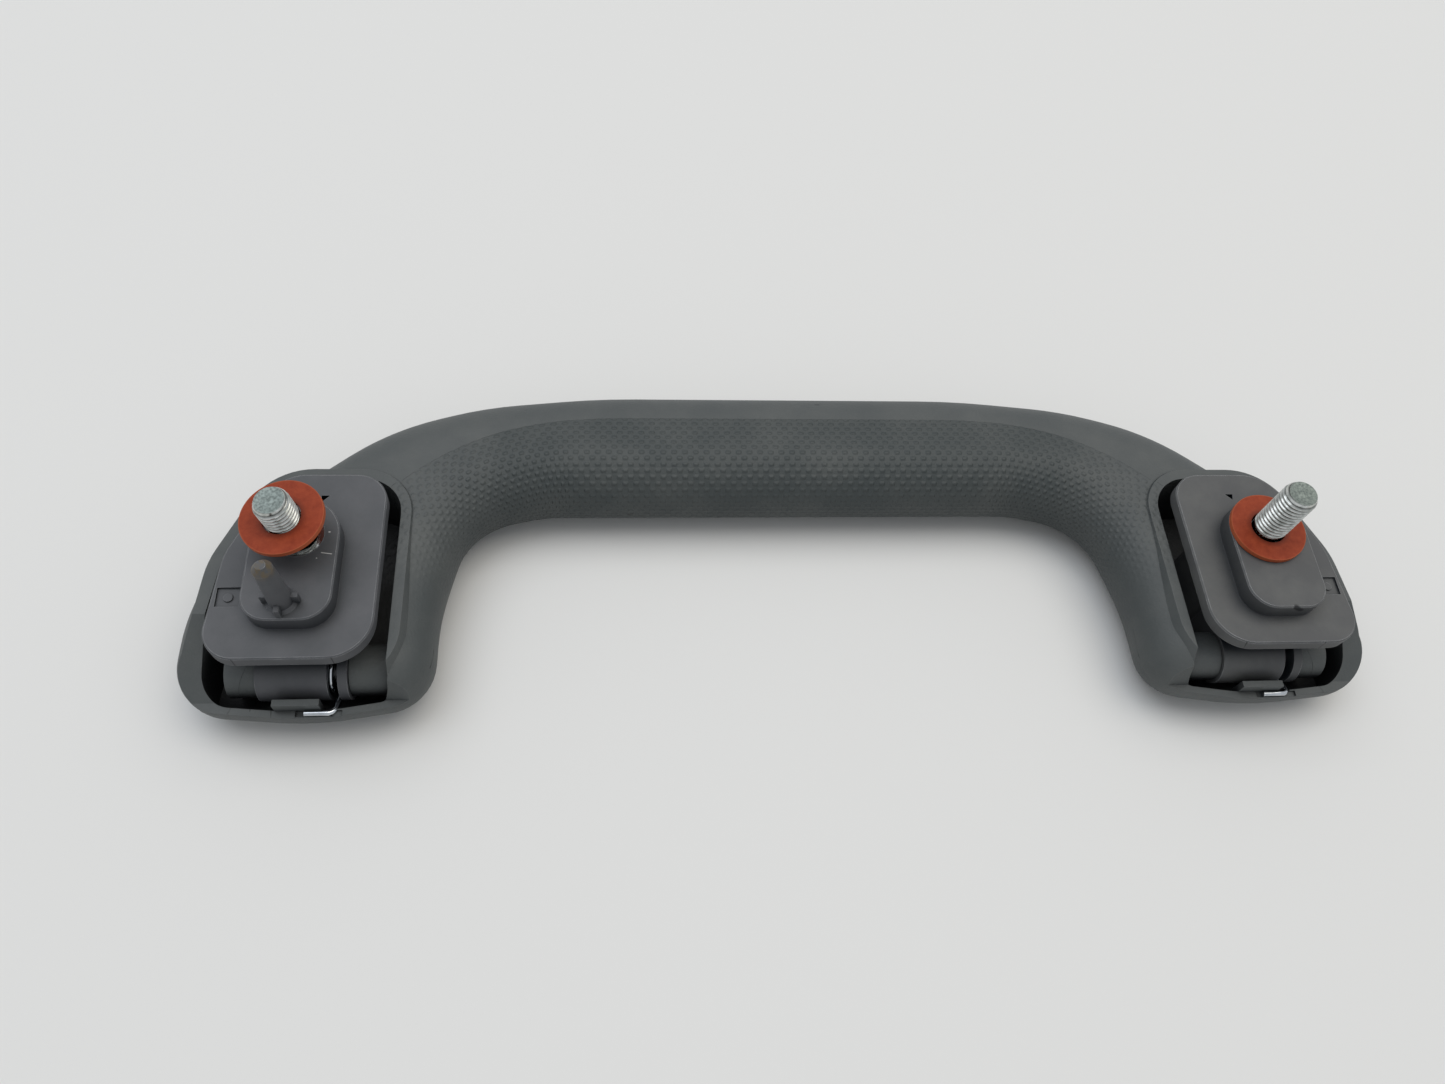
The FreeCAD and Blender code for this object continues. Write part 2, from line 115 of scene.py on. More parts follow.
def new_material(name):
    """A material with an empty node tree."""
    material = bpy.data.materials.new(name)
    material.use_nodes = True
    material.node_tree.nodes.clear()
    return material, material.node_tree


print("mid grey 777777 is", [round(c, 3) for c in linear("777777")[:3]])

# %% [markdown]
# ## Wear, painted highlight and painted shade on moulded plastic
# A moulded edge is never quite sharp, and hands rub it lighter. The Bevel node gives the normal
# of a rounded edge: where it differs from the plain normal there is an edge, which is made paler,
# partly as rubbed wear and partly as a painted highlight. Ambient Occlusion tells how sheltered a
# point is by its own piece. Deep places are painted dark, which is painted shade, and are made
# glossier. Both masks come from the shape alone, so they look the same from every side.

# %% Edge and painted shade masks
EDGE_FROM, EDGE_FULL = 0.995, 0.94         # match of the rounded and the plain normal
PAINTED_SHADE_FROM, PAINTED_SHADE_FULL = 0.85, 0.35    # how open a point is, 1 in the open
BARE_FROM, BARE_FULL = 0.75, 0.95          # only open edges get the rubbed wear and painted highlight
EDGE_PATCH_MM = 2.5                               # size of the patches along a paler edge
EDGE_PATCH_LEAST = 0.25                           # least paling between them
DUST_FROM, DUST_FULL = 0.4, 0.7            # noise values between clean and dusty


def wear_highlight_and_shade_masks(tree, place, edge_mm, depth_mm):
    """Outputs for the rounded normal, the paler edges (rubbed wear and painted highlight) and the painted shade.
    """
    rounded = add(tree, "Bevel", {"Radius": edge_mm * mm}, samples=4)
    plain = add(tree, "NewGeometry", out="Normal")
    match = add(tree, "VectorMath", {0: rounded, 1: plain}, out="Value",
                operation="DOT_PRODUCT")
    edge = add(tree, "MapRange", {"Value": match, "From Min": EDGE_FROM, "From Max": EDGE_FULL})
    light = add(tree, "AmbientOcclusion", {"Distance": depth_mm * mm}, out="AO", samples=8,
                only_local=True)
    # Sheltered points get painted shade from this mask.
    painted_shade = add(tree, "MapRange", {"Value": light, "From Min": PAINTED_SHADE_FROM,
                                     "From Max": PAINTED_SHADE_FULL})
    bare = add(tree, "MapRange", {"Value": light, "From Min": BARE_FROM, "From Max": BARE_FULL})
    edge_patches = add(tree, "TexNoise", {"Vector": place, "Scale": 1 / (EDGE_PATCH_MM * mm), "Detail": 4.0})
    edge_patches = add(tree, "MapRange", {"Value": edge_patches, "From Min": 0.3, "From Max": 0.6,
                                  "To Min": EDGE_PATCH_LEAST})
    # Open edges are made paler with this mask: partly rubbed wear, partly painted highlight.
    edge = add(tree, "Math", {0: edge, 1: bare}, operation="MULTIPLY")
    edge = add(tree, "Math", {0: edge, 1: edge_patches}, operation="MULTIPLY")
    return rounded, edge, painted_shade


def mark(tree, place, start, end, reach):
    """Output that is 1 on a mark from start to end and 0 past its reach to each side, in mm."""
    start, end = Vector(start) * mm, Vector(end) * mm
    line = end - start
    step = add(tree, "VectorMath", {0: place, 1: start}, operation="SUBTRACT")
    share = add(tree, "VectorMath", {0: step, 1: line / line.length_squared}, out="Value",
                operation="DOT_PRODUCT")
    share = add(tree, "Math", {0: share, 1: 0.0}, operation="ADD", use_clamp=True)
    nearest = add(tree, "VectorMath", {0: line, "Scale": share}, operation="SCALE")
    gap = add(tree, "VectorMath", {0: step, 1: nearest}, out="Value", operation="DISTANCE")
    return add(tree, "MapRange", {"Value": gap, "From Min": reach * mm,
                                  "From Max": reach * mm / 2})


print("wear masks ready")

# %% [markdown]
# ## Moulded polypropylene with a fine spark grain
# The brackets and the screw covers are injection moulded polypropylene. Their steel mould was
# spark eroded, which leaves a fine, even, matt grain of about 0.2 mm. It is drawn at 0.35 mm
# here, so that it shows in the render. A slow change of tone over several millimetres stands
# for handling marks. The tip of the locating peg has gone brown from the roof's sheet metal. A
# chip on the right pad, a scratch and specks on the left one and the two short lines where the
# mould's insert ended are put in by their places.

# %% Marks on the brackets
# Each mark is its start, its end and its reach to each side, in mm.
LEFT_DARK = (((-110.1, -31.7, 25.9), (-110.1, -31.7, 23.0), 0.15),
             ((-91.9, -31.6, 25.8), (-91.9, -31.6, 23.0), 0.15))
LEFT_PALE = (((-95.1, -11.3, 30.2), (-93.1, -11.6, 30.2), 0.08),
             ((-94.2, -6.7, 30.2), (-94.0, -6.7, 30.2), 0.14),
             ((-95.9, -12.5, 30.2), (-95.8, -12.5, 30.2), 0.11))
RIGHT_DARK = (((101.0, -25.4, 29.9), (102.6, -25.6, 28.8), 0.75),
              ((90.8, -31.3, 25.8), (91.4, -31.6, 23.0), 0.15),
              ((107.9, -31.6, 25.8), (107.9, -31.6, 23.0), 0.15))
print("marks:", len(LEFT_DARK + LEFT_PALE), "left,", len(RIGHT_DARK), "right")

# %% Bracket plastic
BRACKET_EDGE_MM = 0.22
BRACKET_SHELTER_MM = 16
BRACKET_EDGE_LIGHTEN = 0.8           # how far an open edge goes towards its pale tone, partly wear and partly painted highlight
BRACKET_DUST_MM = 9
SPARK_GRAIN_MM = 0.35
PEG_TIP_Z = 41.8            # mm, the brown part of the peg is above this
PEG_FADE = 2.0
STAIN_MM = 1.3


def moulded_plastic(name, colour, dusty, dark=(), pale=(), peg_tip=False):
    """Matt grained plastic with dark and pale marks and, if asked, a brown peg tip."""
    material, tree = new_material(name)
    place = add(tree, "TexCoord", out="Object")
    rounded, edge, painted_shade = wear_highlight_and_shade_masks(tree, place, BRACKET_EDGE_MM, BRACKET_SHELTER_MM)
    dust = add(tree, "TexNoise", {"Vector": place, "Scale": 1 / (BRACKET_DUST_MM * mm),
                                  "Detail": 4.0, "Roughness": 0.6})
    dust = add(tree, "MapRange", {"Value": dust, "From Min": DUST_FROM, "From Max": DUST_FULL})
    tone = add(tree, "Mix", {0: dust, 6: linear(colour), 7: linear(dusty)}, out=2,
               data_type="RGBA")
    # Sheltered places are painted dark here: painted shade.
    tone = add(tree, "Mix", {0: painted_shade, 6: tone, 7: linear("1d2125")}, out=2,
               data_type="RGBA")
    # Open edges are made paler here: partly rubbed wear, partly painted highlight.
    worn_and_lit_edge = add(tree, "Math", {0: edge, 1: BRACKET_EDGE_LIGHTEN}, operation="MULTIPLY")
    tone = add(tree, "Mix", {0: worn_and_lit_edge, 6: tone, 7: linear("a0a2a4")}, out=2, data_type="RGBA")
    for marks, shade in ((dark, "0c0d10"), (pale, "c9cac8")):
        for start, end, reach in marks:
            spot = mark(tree, place, start, end, reach)
            tone = add(tree, "Mix", {0: spot, 6: tone, 7: linear(shade)}, out=2,
                       data_type="RGBA")
    if peg_tip:
        height = add(tree, "SeparateXYZ", {0: place}, out="Z")
        brown = add(tree, "MapRange", {"Value": height, "From Min": PEG_TIP_Z * mm,
                                       "From Max": (PEG_TIP_Z + PEG_FADE) * mm})
        stain = add(tree, "TexNoise", {"Vector": place, "Scale": 1 / (STAIN_MM * mm),
                                       "Detail": 3.0})
        stain = add(tree, "MapRange", {"Value": stain, "From Min": 0.35, "From Max": 0.55})
        brown = add(tree, "Math", {0: brown, 1: stain}, operation="MULTIPLY")
        tone = add(tree, "Mix", {0: brown, 6: tone, 7: linear("564b38")}, out=2,
                   data_type="RGBA")
    grain = add(tree, "TexNoise", {"Vector": place, "Scale": 1 / (SPARK_GRAIN_MM * mm),
                                   "Detail": 3.0})
    normal = add(tree, "Bump", {"Height": grain, "Normal": rounded, "Strength": 0.6,
                                "Distance": 0.03 * mm})
    gloss = add(tree, "MapRange", {"Value": painted_shade, "To Min": 0.56, "To Max": 0.42})
    shader = add(tree, "BsdfPrincipled", {"Base Color": tone, "Roughness": gloss,
                                          "Normal": normal, "IOR": 1.49})
    add(tree, "OutputMaterial", {"Surface": shader})
    return material


left_bracket_plastic = moulded_plastic("polypropylene_with_brown_tip", "444649", "4f5053",
                                       LEFT_DARK, LEFT_PALE, peg_tip=True)
right_bracket_plastic = moulded_plastic("moulded_polypropylene", "464748", "525352",
                                        RIGHT_DARK)
cover_plastic = moulded_plastic("moulded_cover_polypropylene", "545658", "606162")
print("made", left_bracket_plastic.name, right_bracket_plastic.name, cover_plastic.name)

# %% [markdown]
# ## The grip's grained plastic
# The grip has two grains. All of it has a fine matt grain. The finger side of the bow also has
# small raised dashes in rows, 1.15 mm apart round the bar and 2.4 mm along it. A style
# line parts that field from the smooth back. The field on the bow is painted darker than the back
# and the legs, which is painted shade. Nodes work out
# where a point lies along the bow and round its section, because the rows follow the bends.

# %% Where a point lies on the bow
BOW_STRAIGHT = 48 * mm      # half the straight length of the bow
BEND_R = 36 * mm            # radius of the bends' middle line
BOW_Y = 23.9 * mm           # middle of the bow seen from above
BOW_Z = 9.0 * mm
ROUND_R = 11 * mm           # the section's mean radius


def bow_coordinates(tree, place):
    """Outputs for |x|, y and the distances along the bow and round its section, in metres."""
    x, y, z = add(tree, "SeparateXYZ", {0: place}).node.outputs
    side_x = add(tree, "Math", {0: x}, operation="ABSOLUTE")
    past = add(tree, "Math", {0: side_x, 1: BOW_STRAIGHT}, operation="SUBTRACT")
    past = add(tree, "Math", {0: past, 1: 0.0}, operation="MAXIMUM")
    rise = add(tree, "Math", {0: y, 1: BOW_Y - BEND_R}, operation="SUBTRACT")
    ahead = add(tree, "Math", {0: rise, 1: 0.1 * mm}, operation="MAXIMUM")
    behind = add(tree, "Math", {0: rise, 1: 0.0}, operation="MINIMUM")
    angle = add(tree, "Math", {0: past, 1: ahead}, operation="ARCTAN2")
    along = add(tree, "Math", {0: side_x, 1: BOW_STRAIGHT}, operation="MINIMUM")
    along = add(tree, "Math", {0: angle, 1: BEND_R, 2: along}, operation="MULTIPLY_ADD")
    along = add(tree, "Math", {0: along, 1: behind}, operation="SUBTRACT")
    spoke = add(tree, "CombineXYZ", {0: past, 1: ahead})
    radius = add(tree, "VectorMath", {0: spoke}, out="Value", operation="LENGTH")
    inward = add(tree, "Math", {0: BEND_R, 1: radius}, operation="SUBTRACT")
    height = add(tree, "Math", {0: z, 1: BOW_Z}, operation="SUBTRACT")
    turn = add(tree, "Math", {0: height, 1: inward}, operation="ARCTAN2")
    around = add(tree, "Math", {0: turn, 1: ROUND_R}, operation="MULTIPLY")
    return side_x, y, along, around


print("bow middle line at y", round(BOW_Y / mm, 1), "mm")

# %% Style line
LINE_Y = 27.8 * mm          # style line on the straight bow
LINE_BEND_X = 30 * mm       # where it starts to bend
LINE_BEND = 1.08e-4 / mm ** 2


def style_line(tree, side_x, y):
    """Output for the signed distance from the style line, positive on the smooth back."""
    past = add(tree, "Math", {0: side_x, 1: LINE_BEND_X}, operation="SUBTRACT")
    past = add(tree, "Math", {0: past, 1: 0.0}, operation="MAXIMUM")
    cube = add(tree, "Math", {0: past, 1: 3.0}, operation="POWER")
    bent = add(tree, "Math", {0: cube, 1: LINE_BEND, 2: y}, operation="MULTIPLY_ADD")
    return add(tree, "Math", {0: bent, 1: LINE_Y}, operation="SUBTRACT")


print("style line drops", round(LINE_BEND * (50 * mm) ** 3 / mm, 1), "mm at 80 mm out")

# %% Raised dashes
ROW_MM = 1.15               # from row to row, round the bar
DASH_MM = 2.4               # from dash to dash, along it
FIELD_FADE = (110 * mm, 76 * mm)    # along the bow, where the dashes end and where they are full


def dash_height(tree, place):
    """Outputs for the raised dashes' height and for the smooth back beyond the line.

    Neighbouring rows are half a dash apart, so the sign of the row's wave swaps its dashes."""
    side_x, y, along, around = bow_coordinates(tree, place)
    beyond = style_line(tree, side_x, y)
    back = add(tree, "MapRange", {"Value": beyond, "From Min": -0.1 * mm,
                                  "From Max": 0.1 * mm})
    field = add(tree, "Math", {0: 1.0, 1: back}, operation="SUBTRACT")
    u = add(tree, "Math", {0: along, 1: 2 * math.pi / (DASH_MM * mm)}, operation="MULTIPLY")
    v = add(tree, "Math", {0: around, 1: math.pi / (ROW_MM * mm)}, operation="MULTIPLY")
    u = add(tree, "Math", {0: u}, operation="COSINE")
    v = add(tree, "Math", {0: v}, operation="COSINE")
    ridge = add(tree, "Math", {0: v, 1: v}, operation="MULTIPLY")
    swap = add(tree, "Math", {0: v}, operation="SIGN")
    u = add(tree, "Math", {0: u, 1: swap}, operation="MULTIPLY")
    dash = add(tree, "MapRange", {"Value": u, "From Min": -0.3, "From Max": 0.6})
    wave = add(tree, "Math", {0: ridge, 1: dash}, operation="MULTIPLY")
    fade = add(tree, "MapRange", {"Value": along, "From Min": FIELD_FADE[0],
                                  "From Max": FIELD_FADE[1]})
    field = add(tree, "Math", {0: field, 1: fade}, operation="MULTIPLY")
    return add(tree, "Math", {0: wave, 1: field}, operation="MULTIPLY"), back


print("dashes", DASH_MM, "mm apart in rows", ROW_MM, "mm apart")

# %% [markdown]
# A few small marks of use are put back where the real handle has them: two nicks on the bow, a
# cut on the left leg and a long fine scratch on the right one. Two short lines on the left pod's
# near wall show where a mould insert ended.

# %% Grip plastic
GRIP_MARKS = (
    ((8.0, 32.8, 19.2), (8.8, 32.8, 19.2), 0.22),
    ((-35.4, 9.7, 8.6), (-34.5, 9.7, 9.0), 0.35),
    ((-75.3, -24.5, 12.6), (-75.7, -28.6, 13.0), 0.22),
    ((75.15, -21.5, 11.2), (75.15, -27.8, 10.5), 0.15),
    ((-110.1, -36.1, 11.2), (-110.0, -37.5, 10.9), 0.12),
    ((-106.05, -36.4, 11.2), (-105.9, -37.9, 11.1), 0.12),
)
GRIP_EDGE_MM = 0.2
GRIP_SHELTER_MM = 26
GRIP_EDGE_LIGHTEN = 0.3
GRIP_DUST_MM = 14
GRIP_GRAIN_MM = 0.6
LEGS = (62 * mm, 82 * mm)           # the finger side's painted shade ends between these
LINE_STEP = 0.12 * mm               # the smooth back stands this much higher
DASH_STEP = 0.2 * mm


def grip_material():
    """The grip's plastic with both grains, the style line and the marks of use."""
    material, tree = new_material("grained_polypropylene")
    place = add(tree, "TexCoord", out="Object")
    rounded, edge, painted_shade = wear_highlight_and_shade_masks(tree, place, GRIP_EDGE_MM, GRIP_SHELTER_MM)
    dashes, back = dash_height(tree, place)
    dust = add(tree, "TexNoise", {"Vector": place, "Scale": 1 / (GRIP_DUST_MM * mm),
                                  "Detail": 5.0, "Roughness": 0.65})
    dust = add(tree, "MapRange", {"Value": dust, "From Min": DUST_FROM, "From Max": DUST_FULL})
    # The bow's finger-side field gets a darker tone than the back and the legs: painted shade.
    crest = add(tree, "Mix", {0: dust, 6: linear("454949"), 7: linear("4f5251")}, out=2,
                data_type="RGBA")
    field = add(tree, "Mix", {0: dust, 6: linear("333939"), 7: linear("414544")}, out=2,
                data_type="RGBA")
    x = add(tree, "SeparateXYZ", {0: place}, out="X")
    side_x = add(tree, "Math", {0: x}, operation="ABSOLUTE")
    legs = add(tree, "MapRange", {"Value": side_x, "From Min": LEGS[0], "From Max": LEGS[1]})
    plain = add(tree, "Math", {0: back, 1: legs}, operation="MAXIMUM")
    tone = add(tree, "Mix", {0: plain, 6: field, 7: crest}, out=2, data_type="RGBA")
    # Sheltered places are painted near black here: painted shade.
    tone = add(tree, "Mix", {0: painted_shade, 6: tone, 7: linear("0c0e10")}, out=2,
               data_type="RGBA")
    # Open edges are made paler here: partly rubbed wear, partly painted highlight.
    pale = add(tree, "Math", {0: edge, 1: GRIP_EDGE_LIGHTEN}, operation="MULTIPLY")
    tone = add(tree, "Mix", {0: pale, 6: tone, 7: linear("8b8d8c")}, out=2, data_type="RGBA")
    for start, end, reach in GRIP_MARKS:
        cut = mark(tree, place, start, end, reach)
        tone = add(tree, "Mix", {0: cut, 6: tone, 7: linear("101112")}, out=2,
                   data_type="RGBA")
    grain = add(tree, "TexNoise", {"Vector": place, "Scale": 1 / (GRIP_GRAIN_MM * mm),
                                   "Detail": 4.0})
    normal = add(tree, "Bump", {"Height": back, "Normal": rounded, "Strength": 1.0,
                                "Distance": LINE_STEP})
    normal = add(tree, "Bump", {"Height": dashes, "Normal": normal, "Strength": 1.0,
                                "Distance": DASH_STEP})
    normal = add(tree, "Bump", {"Height": grain, "Normal": normal, "Strength": 0.8,
                                "Distance": 0.1 * mm})
    shader = add(tree, "BsdfPrincipled", {"Base Color": tone, "Roughness": 0.58, "IOR": 1.49,
                                          "Normal": normal})
    add(tree, "OutputMaterial", {"Surface": shader})
    return material


grip_plastic = grip_material()
print("made", grip_plastic.name, "with", len(grip_plastic.node_tree.nodes), "nodes")

# %% [markdown]
# ## Metals
# The screws are steel with a zinc plating, which is silvery with a faint green and blue cast and
# small dull patches. The sleeves are plated too, and turned smooth. The spring wire and the pins
# were drawn through a die, so they are smooth and bright. All of them are full metals, and the
# colour is the metal's own reflection.

# %% Plated and drawn steel
def metal(name, colour, dull_colour, patch_mm, roughness, dull_roughness, valley="", bump=0.3):
    """valley names a mesh attribute for the thread's grooves, where the plating is dull and the colour is painted
    dark as painted shade.
    """
    material, tree = new_material(name)
    place = add(tree, "TexCoord", out="Object")
    patch = add(tree, "TexNoise", {"Vector": place, "Scale": 1 / (patch_mm * mm),
                                   "Detail": 5.0})
    amount = add(tree, "MapRange", {"Value": patch, "From Min": DUST_FROM,
                                    "From Max": DUST_FULL})
    tone = add(tree, "Mix", {0: amount, 6: linear(colour), 7: linear(dull_colour)}, out=2,
               data_type="RGBA")
    if valley:
        groove = add(tree, "Attribute", out="Fac", attribute_name=valley)
        # The thread's grooves are painted dark here: painted shade.
        tone = add(tree, "Mix", {0: groove, 6: tone, 7: linear("1e1f1e")}, out=2,
                   data_type="RGBA")
        amount = add(tree, "Math", {0: amount, 1: groove}, operation="MAXIMUM")
    rough = add(tree, "MapRange", {"Value": amount, "To Min": roughness,
                                   "To Max": dull_roughness})
    normal = add(tree, "Bump", {"Height": patch, "Strength": bump, "Distance": 0.02 * mm})
    shader = add(tree, "BsdfPrincipled", {"Base Color": tone, "Roughness": rough,
                                          "Normal": normal, "Metallic": 1.0})
    add(tree, "OutputMaterial", {"Surface": shader})
    return material


thread_zinc = metal("zinc_plated_thread", "d3d5d1", "a0a49e", 1.2, 0.12, 0.32,
                    valley="groove")
sheared_zinc = metal("zinc_plated_sheared_end", "727a76", "5b625f", 0.5, 0.36, 0.55, bump=0.6)
sleeve_steel = metal("plated_sleeve_steel", "cfd0cf", "b4b5b5", 3.0, 0.12, 0.22, bump=0.05)
drawn_wire = metal("drawn_spring_wire", "c4c8cc", "a2a6aa", 3.0, 0.1, 0.18, bump=0.05)
pin_steel = metal("drawn_pin_steel", "b9babb", "98999a", 3.0, 0.3, 0.45, bump=0.1)
print("made", [m.name for m in (thread_zinc, sheared_zinc, sleeve_steel, drawn_wire, pin_steel)])

# %% [markdown]
# ## Vulcanised fibre washers
# The retaining washers are punched from red-brown vulcanised fibre, a hard pressed paper. It is
# dull and slightly mottled. The punched rim is paler, and oil from the thread darkens it round
# the hole. The distance from each washer's own axis gives both bands.

# %% Fibre
OIL_BAND = (4.9 * mm, 3.7 * mm)     # where the oil ends and where it is full, from the axis
RIM_BAND = (7.75 * mm, 7.95 * mm)
RIM_PALE = 0.5
MOTTLE_MM = 1.6


def fibre(name, centre, axis):
    """Fibre for the washer that has this centre and axis."""
    material, tree = new_material(name)
    place = add(tree, "TexCoord", out="Object")
    step = add(tree, "VectorMath", {0: place, 1: centre}, operation="SUBTRACT")
    swept = add(tree, "VectorMath", {0: step, 1: axis}, operation="CROSS_PRODUCT")
    radius = add(tree, "VectorMath", {0: swept}, out="Value", operation="LENGTH")
    mottle = add(tree, "TexNoise", {"Vector": place, "Scale": 1 / (MOTTLE_MM * mm),
                                    "Detail": 6.0, "Roughness": 0.7})
    amount = add(tree, "MapRange", {"Value": mottle, "From Min": 0.35, "From Max": 0.7})
    tone = add(tree, "Mix", {0: amount, 6: linear("823016"), 7: linear("984022")}, out=2,
               data_type="RGBA")
    oil = add(tree, "MapRange", {"Value": radius, "From Min": OIL_BAND[0],
                                 "From Max": OIL_BAND[1]})
    oil = add(tree, "Math", {0: oil, 1: mottle}, operation="MULTIPLY")
    tone = add(tree, "Mix", {0: oil, 6: tone, 7: linear("3d150b")}, out=2, data_type="RGBA")
    rim = add(tree, "MapRange", {"Value": radius, "From Min": RIM_BAND[0],
                                 "From Max": RIM_BAND[1], "To Max": RIM_PALE})
    tone = add(tree, "Mix", {0: rim, 6: tone, 7: linear("b0603c")}, out=2, data_type="RGBA")
    rounded = add(tree, "Bevel", {"Radius": 0.15 * mm}, samples=4)
    normal = add(tree, "Bump", {"Height": mottle, "Normal": rounded, "Strength": 0.5,
                                "Distance": 0.05 * mm})
    shader = add(tree, "BsdfPrincipled", {"Base Color": tone, "Roughness": 0.65, "IOR": 1.5,
                                          "Specular IOR Level": 0.25, "Normal": normal})
    add(tree, "OutputMaterial", {"Surface": shader})
    return material


washer_fibre = {}
for side in SIDES:
    washer = side + "_retaining_washer"
    low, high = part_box(washer)
    centre = (Vector(low) + Vector(high)) / 2
    washer_fibre[washer] = fibre(side + "_vulcanised_fibre", centre, SCREW_AXES[side])
    print(side, "washer at", [round(v / mm, 1) for v in centre], "mm")

# %% [markdown]
# ## Dressing the CAD nodes
# The mouldings, sleeves, washers, pins and covers keep their CAD meshes and get the finishes
# above. A finish goes by the node's whole name, or else by its name without the side.

# %% Materials on the CAD nodes
FINISH = {
    "grip": grip_plastic, "left_bracket": left_bracket_plastic,
    "right_bracket": right_bracket_plastic, "hinge_pin": pin_steel,
    "return_spring": drawn_wire, "screw": thread_zinc, "spacer_sleeve": sleeve_steel,
    "screw_cover": cover_plastic, **washer_fibre,
}
for name, node in NODES.items():
    kind = name.removeprefix("left_").removeprefix("right_")
    node.data.materials.clear()
    node.data.materials.append(FINISH.get(name) or FINISH[kind])
print("dressed", len(NODES), "nodes")

# %% [markdown]
# ## Screw threads
# The CAD screw is plain, so each one is built again here with its M7 thread. A grid of points
# runs round and along the screw, and its radius follows the thread's V profile, shifted by one
# pitch per turn. That gives a true helix that winds the right way, with no extra tools. Each
# point keeps how deep it lies in the groove, for the material.

# %% Screw sizes
PITCH = 1.0 * mm
THREAD_R = 3.5 * mm
THREAD_DEPTH = 0.6 * mm
GROOVE_SHARE = 0.42         # half of the groove's width, in pitches
SHANK_R = 3.05 * mm
SHANK_LEN = 11.5 * mm
RUN_IN = 0.8 * PITCH        # the first ridge rises over this length
SCREW_LEN = 25.0 * mm
POINT_R = 2.85 * mm
POINT_LEN = 1.2 * mm
SHEARED_END = ((0.86, 0.0), (0.5, 0.16 * mm), (0.2, 0.06 * mm))   # share of the radius, dip
FLANGE_R = 6.2 * mm
FLANGE_T = 1.4 * mm
FLANGE_EDGE = 0.35 * mm     # upright part of the flange's side
FLANGE_SLOPE = 1.0 * mm     # how far it narrows below that
HEX_AF = 10.0 * mm
HEX_H = 5.0 * mm
ROUND_STEPS = 48
ROWS_PER_PITCH = 12


def groove_depth(turn, z):
    """How deep the thread's groove is, from 0 to 1, at a turn from 0 to 1 and a height."""
    if z < SHANK_LEN:
        return 0.0
    phase = (z / PITCH - turn) % 1.0
    return max(0.0, 1 - abs(phase - 0.5) / GROOVE_SHARE)


def thread_radius(turn, z):
    """The screw's radius at a turn from 0 to 1 and a height above its flange."""
    if z < SHANK_LEN:
        return SHANK_R
    radius = THREAD_R - THREAD_DEPTH * groove_depth(turn, z)
    run_in = min(1.0, (z - SHANK_LEN) / RUN_IN)
    radius = SHANK_R + (radius - SHANK_R) * run_in
    left = SCREW_LEN - z
    if left < POINT_LEN:
        radius = min(radius, POINT_R + (THREAD_R - POINT_R) * left / POINT_LEN)
    return radius


print("groove", THREAD_DEPTH / mm, "mm deep")

# %% Rings of points and the screw's head
def ring(mesh, radius_at, z, count=ROUND_STEPS):
    """A level ring of points. radius_at gives the radius at a turn from 0 to 1."""
    points = []
    for i in range(count):
        turn = i / count
        r, a = radius_at(turn), 2 * math.pi * turn
        points.append(mesh.verts.new((r * math.cos(a), r * math.sin(a), z)))
    return points


def join_rings(mesh, low, high):
    """Faces between two rings of points."""
    count = len(low)
    return [mesh.faces.new((low[i], low[(i + 1) % count], high[(i + 1) % count], high[i]))
            for i in range(count)]


def add_head(mesh):
    """Flange and hexagon under the bearing face."""
    sides = ((FLANGE_R, 0.0), (FLANGE_R, -FLANGE_EDGE), (FLANGE_R - FLANGE_SLOPE, -FLANGE_T))
    flange = [ring(mesh, lambda turn, r=r: r, z) for r, z in sides]
    mesh.faces.new(flange[0])
    for low, high in zip(flange, flange[1:]):
        join_rings(mesh, high, low)
    mesh.faces.new(list(reversed(flange[-1])))
    hex_r = HEX_AF / math.sqrt(3)
    top, foot = (ring(mesh, lambda turn: hex_r, z, 6) for z in (-FLANGE_T / 2, -HEX_H))
    join_rings(mesh, foot, top)
    mesh.faces.new(list(reversed(foot)))


print("hexagon", round(HEX_AF / mm, 1), "mm across")

# %% Screw mesh
THREAD_SHARP = math.radians(50)


def screw_mesh(name):
    """Upright screw, the flange's bearing face at zero. Material 1 is its sheared end."""
    mesh = bmesh.new()
    groove = mesh.verts.layers.float.new("groove")
    steps = round((SCREW_LEN - SHANK_LEN) / PITCH * ROWS_PER_PITCH)
    heights = [0.0, SHANK_LEN * 0.5, SHANK_LEN - 0.01 * mm]
    heights += [SHANK_LEN + (SCREW_LEN - SHANK_LEN) * i / steps for i in range(steps + 1)]
    rings = []
    for z in heights:
        rings.append(ring(mesh, lambda turn: thread_radius(turn, z), z))
        for i, point in enumerate(rings[-1]):
            point[groove] = groove_depth(i / ROUND_STEPS, z)
    for low, high in zip(rings, rings[1:]):
        join_rings(mesh, low, high)
    # The sheared end: a shallow dished face inside a narrow rim.
    rim = rings[-1]
    end = []
    for share, dip in SHEARED_END:
        inner = [mesh.verts.new((v.co.x * share, v.co.y * share, SCREW_LEN - dip))
                 for v in rings[-1]]
        end += join_rings(mesh, rim, inner)
        rim = inner
    end.append(mesh.faces.new(rim))
    for face in end:
        face.material_index = 1
    mesh.faces.new(list(reversed(rings[0])))
    add_head(mesh)
    data = bpy.data.meshes.new(name)
    mesh.to_mesh(data)
    mesh.free()
    data.shade_smooth()
    data.set_sharp_from_angle(angle=THREAD_SHARP)
    return data


